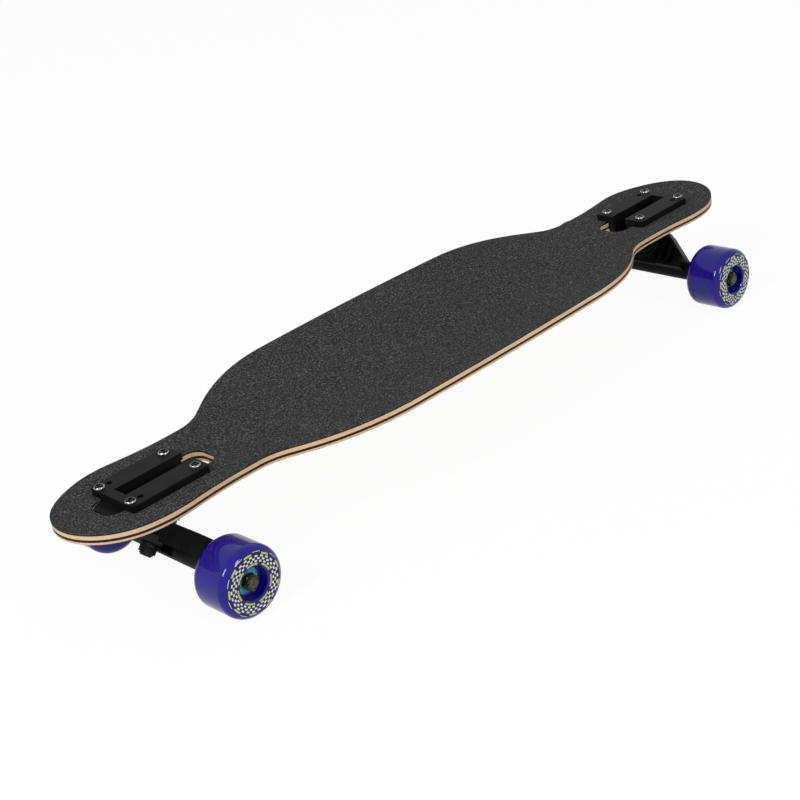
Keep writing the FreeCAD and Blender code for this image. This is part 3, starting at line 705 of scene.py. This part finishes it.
@dataclass
class Bushing:
    """A urethane bushing between its washer, which stays with the deck, and the hanger's ring."""

    end: End
    place: BushingPlace
    height_mm: float
    washer_radius_mm: float
    ring_place_mm: tuple[float, float] = (321.3, 48.0)
    seat_mm: float = 4.55
    seat_radius_mm: float = 12.4
    edge_mm: float = 1.0
    washer_bore_mm: float = 5.0
    seat_bore_mm: float = 8.2
    flare_share: float = 0.6
    held_in_ring_mm: float = 3.1
    held_in_washer_mm: float = 1.3
    rows: int = 16
    columns: int = 96

    def profile(self) -> tuple[np.ndarray, np.ndarray]:
        """Draw half of the section: the outside from the ring to the washer, then the bore back.

        The bore widens towards the ring by a smooth step, which leaves room for the kingpin when the ring tilts.

        Returns:
            Distances from the ring's seat, and radii.
        """
        breaks = np.array([0.0, self.edge_mm, self.height_mm - self.edge_mm, self.height_mm])
        widths = np.array([self.seat_radius_mm - self.edge_mm, self.seat_radius_mm, self.washer_radius_mm,
                           self.washer_radius_mm - self.edge_mm])
        outside = np.concatenate([breaks[:1], np.linspace(breaks[1], breaks[2], self.rows), breaks[3:]])
        inside = np.linspace(self.height_mm, 0.0, self.rows)
        share = np.clip((self.height_mm - inside) / (self.flare_share * self.height_mm), 0, 1)
        bore = self.washer_bore_mm + (self.seat_bore_mm - self.washer_bore_mm) * share ** 2 * (3 - 2 * share)
        return np.concatenate([outside, inside]), np.concatenate([np.interp(outside, breaks, widths), bore])

    def build(self) -> bpy.types.Object:
        """Turn the section round the kingpin.

        The point at distance s and radius r of the section, at angle a, is the ring's centre plus s along the kingpin
        plus r times (cos a across the board plus sin a along the steering axis).

        Returns:
            The piece, which stands for the CAD bushing.
        """
        along = np.array([self.end.value, 0.0, -1.0]) / math.sqrt(2) * self.place.value
        across = np.array([0.0, 1.0, 0.0])
        upright = np.cross(along, across)
        centre = np.array([self.end.value * self.ring_place_mm[0], 0.0, self.ring_place_mm[1]]) * MM
        distance, radius = self.profile()
        angles = np.linspace(0, 2 * math.pi, self.columns, endpoint=False)[:, None, None]
        spokes = np.cos(angles) * across + np.sin(angles) * upright
        points = centre + ((self.seat_mm + distance) * MM)[:, None] * along + (radius * MM)[:, None] * spokes

        loop = len(distance)
        here = (np.arange(self.columns) * loop)[:, None]
        there = np.roll(here, -1, axis=0)
        corner = np.arange(loop)
        following = (corner + 1) % loop
        faces = np.stack([here + corner, there + corner, there + following, here + following], axis=-1).reshape(-1, 4)
        node = f"{self.end.label}_{self.place.label}_bushing"
        which = np.zeros(len(faces))
        piece = make_piece(f"{node}_flexing", points.reshape(-1, 3), faces, [BUSHING_URETHANE], which)
        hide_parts(node)
        f"{self.end.label}_hanger"
        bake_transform(piece)
        return piece


@dataclass
class Wheel:
    """One wheel with the turning parts of its bearings and a printed ring of plain bars on its outer face."""

    end: End
    side: Side
    lip_centre_mm: float = 22.5
    lip_radius_mm: float = 7.5
    ring_mm: tuple[float, float] = (14.9, 25.3)
    ring_steps: int = 96
    bar_rows_mm: tuple[tuple[float, float], ...] = ((17.5, 18.9), (19.5, 20.9), (21.5, 22.9))
    bar_count: int = 26
    bar_share: float = 0.5
    bar_stagger: float = 0.5
    inner_line_mm: tuple[float, float] = (15.3, 16.8)
    inner_line_count: int = 7
    inner_line_share: float = 0.7
    inner_line_shift: float = 0.3
    outer_line_mm: tuple[float, float] = (23.5, 25.0)
    outer_line_count: int = 9
    outer_line_share: float = 0.42
    outer_line_shift: float = 0.1
    edge_line_mm: tuple[float, float] = (25.45, 25.8)
    edge_line_count: int = 9
    edge_line_share: float = 0.4
    edge_line_shift: float = 0.6
    patch_steps: int = 4
    film_mm: float = 0.04
    row_mm: float = 0.5

    @property
    def label(self) -> str:
        """Start of the names of the wheel's nodes, and the name of its body without the last word."""
        return f"{self.end.label}_{self.side.label}"

    def dress(self) -> None:
        """Give the urethane, rings, balls and seals their finishes."""
        dress(f"{self.label}_wheel", WHEEL_URETHANE)
        dress(f"{self.label}_bearing_outer_rings", BEARING_STEEL)
        dress(f"{self.label}_bearing_balls", BEARING_STEEL)
        dress(f"{self.label}_bearing_seals", SEAL_RUBBER)

    def spans(self, count: int, share: float, shift: float) -> np.ndarray:
        """Work out the angles of evenly spaced patches round the axle.

        Args:
            count: Number of patches.
            share: Share of the ring that they cover.
            shift: Turn of the first patch, as a share of the spacing.

        Returns:
            One row of angles for each patch.
        """
        spacing = 2 * math.pi / count
        steps = max(self.patch_steps, self.ring_steps // count)
        begin = (np.arange(count) + shift)[:, None] * spacing
        return begin + np.linspace(0, share * spacing, steps + 1)[None, :]

    def film(self, angles: np.ndarray, reach_mm: tuple[float, float], layer: int,
             closed: bool = False) -> tuple[np.ndarray, np.ndarray]:
        """Lay patches of ink on the outer face, which is flat up to the lip and follows its arc from there.

        A patch is a strip of radius r and height h, carried round the axle: its point at angle a is the centre of the
        face plus r times (cos a, 0, sin a) plus h outwards. The lip falls away by its radius less the root of its
        radius squared minus (r - lip centre) squared, and h is the film's thickness above or below that.

        Args:
            angles: One row of angles for each patch.
            reach_mm: Inner and outer radius.
            layer: Number of films that this one is printed over.
            closed: Whether the one patch is a whole ring.

        Returns:
            The points and the faces.
        """
        low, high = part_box(f"{self.label}_wheel")
        centre = (np.array(low) + np.array(high)) / 2
        outward = float(self.side.value)
        face = high.y if self.side is Side.LEFT else low.y

        rows = 2 + math.ceil((reach_mm[1] - reach_mm[0]) / self.row_mm)
        row = np.linspace(*reach_mm, rows)
        beyond = np.maximum(row - self.lip_centre_mm, 0)
        fall = self.lip_radius_mm - np.sqrt(self.lip_radius_mm ** 2 - beyond ** 2)
        radius = np.concatenate([row, row[::-1]]) * MM
        height = np.concatenate([-fall - self.film_mm, (self.film_mm * (layer + 1) - fall)[::-1]]) * MM
        points = np.stack(
            [
                centre[0] + np.cos(angles)[:, :, None] * radius,
                face + outward * height * np.ones_like(angles)[:, :, None],
                centre[2] + np.sin(angles)[:, :, None] * radius,
            ],
            axis=-1,
        )

        count, columns = angles.shape
        loop = len(radius)
        start = (np.arange(count) * columns * loop)[:, None, None]
        column = np.arange(columns if closed else columns - 1)
        here = start + (column * loop)[None, :, None]
        there = start + ((column + 1) % columns * loop)[None, :, None]
        corner = np.arange(loop)[None, None, :]
        following = (corner + 1) % loop
        faces = np.stack([here + corner, here + following, there + following, there + corner], axis=-1).reshape(-1, 4)
        if not closed:
            rung = np.arange(rows - 1)
            cap = np.stack([rung, rung + 1, loop - 2 - rung, loop - 1 - rung], axis=-1)
            last = start + cap + (columns - 1) * loop
            faces = np.concatenate([faces, (start + cap[:, ::-1]).reshape(-1, 4), last.reshape(-1, 4)])
        if outward < 0:
            faces = faces[:, ::-1]
        return points.reshape(-1, 3), faces

    def build_print(self) -> bpy.types.Object:
        """Print a dark ring, then rows of white bars and lime and white lines over it.

        Returns:
            The piece, riding on the wheel's body.
        """
        whole = np.linspace(0, 2 * math.pi, self.ring_steps, endpoint=False)[None, :]
        inner_lines = self.spans(self.inner_line_count, self.inner_line_share, self.inner_line_shift)
        outer_lines = self.spans(self.outer_line_count, self.outer_line_share, self.outer_line_shift)
        edge_lines = self.spans(self.edge_line_count, self.edge_line_share, self.edge_line_shift)
        inks = [DARK_INK, WHITE_INK, LIME_INK]
        films = [
            (DARK_INK, self.film(whole, self.ring_mm, layer=0, closed=True)),
            (LIME_INK, self.film(inner_lines, self.inner_line_mm, layer=1)),
            (LIME_INK, self.film(outer_lines, self.outer_line_mm, layer=1)),
            (WHITE_INK, self.film(edge_lines, self.edge_line_mm, layer=0)),
        ]
        for number, reach_mm in enumerate(self.bar_rows_mm):
            bars = self.spans(self.bar_count, self.bar_share, self.bar_stagger * number)
            films.append((WHITE_INK, self.film(bars, reach_mm, layer=1)))
        offsets = np.cumsum([0] + [len(points) for _, (points, _) in films])
        points = np.concatenate([points for _, (points, _) in films])
        faces = np.concatenate([faces + offset for (_, (_, faces)), offset in zip(films, offsets)])
        which = np.concatenate([np.full(len(patches), inks.index(ink)) for ink, (_, patches) in films])
        piece = make_piece(f"{self.label}_wheel_print", points, faces, inks, which)
        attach(piece, f"{self.label}_wheel")
        return piece


@dataclass(frozen=True)
class SoftBox:
    """A rectangular lamp that points at the board, with sizes in metres and its power in watts."""

    name: str
    place: tuple[float, float, float]
    size: tuple[float, float]
    power: float


@dataclass
class Studio:
    """White floor, soft lamps and the camera."""

    azimuth: float = -41.13
    elevation: float = 25.745
    roll: float = 9.495
    focal_px: float = 1567.589
    frame_px: float = 800.0
    sensor_mm: float = 36.0
    station: tuple[float, float, float] = (-0.880918, -0.953367, 0.64687)
    clip: tuple[float, float] = (0.01, 50.0)
    floor_size: float = 12.0
    floor_colour: str = "#f4f4f4"
    floor_glow: float = 0.94
    sky_colour: str = "#ffffff"
    ambient: float = 0.55
    boxes: tuple[SoftBox, ...] = (
        SoftBox("side_box", (-0.17, -2.33, 1.15), (0.4, 0.9), 22.0),
        SoftBox("end_box", (-2.4, -0.15, 1.9), (0.5, 0.9), 44.0),
    )

    @staticmethod
    def shown_rays(tree: bpy.types.NodeTree) -> bpy.types.NodeSocket:
        """Tell the rays that show the background from those that light the board.

        Args:
            tree: Nodes of the floor or of the world.

        Returns:
            One for rays from the camera, a mirror or a clear piece, and zero for the rest.
        """
        seen = add_node(tree, "ShaderNodeLightPath")
        mirrored = add_node(
            tree, "ShaderNodeMath", {0: seen.outputs["Is Glossy Ray"], 1: seen.outputs["Is Transmission Ray"]},
            operation="MAXIMUM",
        )
        shown = add_node(
            tree, "ShaderNodeMath", {0: seen.outputs["Is Camera Ray"], 1: mirrored.outputs["Value"]},
            operation="MAXIMUM",
        )
        return shown.outputs["Value"]

    def lay_floor(self) -> None:
        """Lay a flat pale floor that shows the shadow and runs into the white background."""
        half = self.floor_size / 2
        corners = np.array([[-half, -half, 0], [half, -half, 0], [half, half, 0], [-half, half, 0]])
        mesh = bpy.data.meshes.new("floor")
        mesh.from_pydata(corners, [], [[0, 1, 2, 3]])
        made = bpy.data.materials.new("pale_studio_floor")
        made.use_nodes = True
        tree = made.node_tree
        tree.nodes.clear()
        paint = add_node(tree, "ShaderNodeBsdfDiffuse", {"Color": linear(self.floor_colour)})
        glow = add_node(tree, "ShaderNodeEmission", {"Strength": 1.0})
        share = add_node(
            tree, "ShaderNodeMath", {0: self.shown_rays(tree), 1: self.floor_glow}, operation="MULTIPLY",
        )
        both = add_node(
            tree, "ShaderNodeMixShader",
            {"Fac": share.outputs["Value"], 1: paint.outputs["BSDF"], 2: glow.outputs["Emission"]},
        )
        add_node(tree, "ShaderNodeOutputMaterial", {"Surface": both.outputs["Shader"]})
        mesh.materials.append(made)
        floor = bpy.data.objects.new("floor", mesh)
        bpy.context.scene.collection.objects.link(floor)

    def light(self) -> None:
        """Light the board with a soft white surround and two soft boxes."""
        world = bpy.data.worlds.new("white_studio")
        bpy.context.scene.world = world
        world.use_nodes = True
        tree = world.node_tree
        tree.nodes.clear()
        strength = add_node(
            tree, "ShaderNodeMapRange", {"Value": self.shown_rays(tree), "To Min": self.ambient, "To Max": 1.0},
        )
        sky = add_node(
            tree, "ShaderNodeBackground", {"Color": linear(self.sky_colour), "Strength": strength.outputs["Result"]},
        )
        add_node(tree, "ShaderNodeOutputWorld", {"Surface": sky.outputs["Background"]})

        for box in self.boxes:
            lamp = bpy.data.lights.new(box.name, "AREA")
            lamp.shape = "RECTANGLE"
            lamp.size, lamp.size_y = box.size
            lamp.energy = box.power
            stand = bpy.data.objects.new(box.name, lamp)
            stand.matrix_world = self.turned_to(-np.array(box.place), box.place)
            bpy.context.scene.collection.objects.link(stand)

    @staticmethod
    def turned_to(aim: np.ndarray, place: tuple[float, float, float]) -> Matrix:
        """Work out the matrix of a lamp that points along a direction.

        Args:
            aim: Direction from the lamp.
            place: Where the lamp stands.

        Returns:
            The lamp's matrix.
        """
        back = -aim / np.linalg.norm(aim)
        right = np.cross((0.0, 0.0, 1.0), back)
        right = right / np.linalg.norm(right)
        up = np.cross(back, right)
        matrix = np.eye(4)
        matrix[:3, :3] = np.stack([right, up, back], axis=1)
        matrix[:3, 3] = place
        return Matrix(matrix.tolist())

    def set_camera(self) -> None:
        """Stand the camera where the photograph was taken from."""
        turn, tilt, lean = (math.radians(angle) for angle in (self.azimuth, self.elevation, self.roll))
        back = np.array(
            [math.sin(turn) * math.cos(tilt), -math.cos(turn) * math.cos(tilt), math.sin(tilt)]
        )
        right = np.cross(-back, (0.0, 0.0, 1.0))
        right = right / np.linalg.norm(right)
        down = np.cross(-back, right)
        leaning_right = math.cos(lean) * right + math.sin(lean) * down
        leaning_down = -math.sin(lean) * right + math.cos(lean) * down
        matrix = np.eye(4)
        matrix[:3, :3] = np.stack([leaning_right, -leaning_down, back], axis=1)
        matrix[:3, 3] = self.station

        lens = bpy.data.cameras.new("camera")
        lens.sensor_width = self.sensor_mm
        lens.lens = self.focal_px / self.frame_px * self.sensor_mm
        lens.clip_start, lens.clip_end = self.clip
        camera = bpy.data.objects.new("camera", lens)
        camera.matrix_world = Matrix(matrix.tolist())
        bpy.context.scene.collection.objects.link(camera)
        bpy.context.scene.camera = camera

    def build(self) -> None:
        """Set up the floor, the light, the camera and the plain view transform."""
        self.lay_floor()
        self.light()
        self.set_camera()
        bpy.context.scene.view_settings.view_transform = "Standard"


def main() -> None:
    """Build the studio and the board's pieces in order."""
    logging.basicConfig(level=logging.INFO, format="%(name)s %(message)s")
    Studio().build()
    Deck().dress()
    for end in End:
        truck = Truck(end)
        truck.dress()
        truck.build_bushings()
        for side in Side:
            wheel = Wheel(end, side)
            wheel.dress()
            wheel.build_print()


if __name__ == "__main__":
    main()
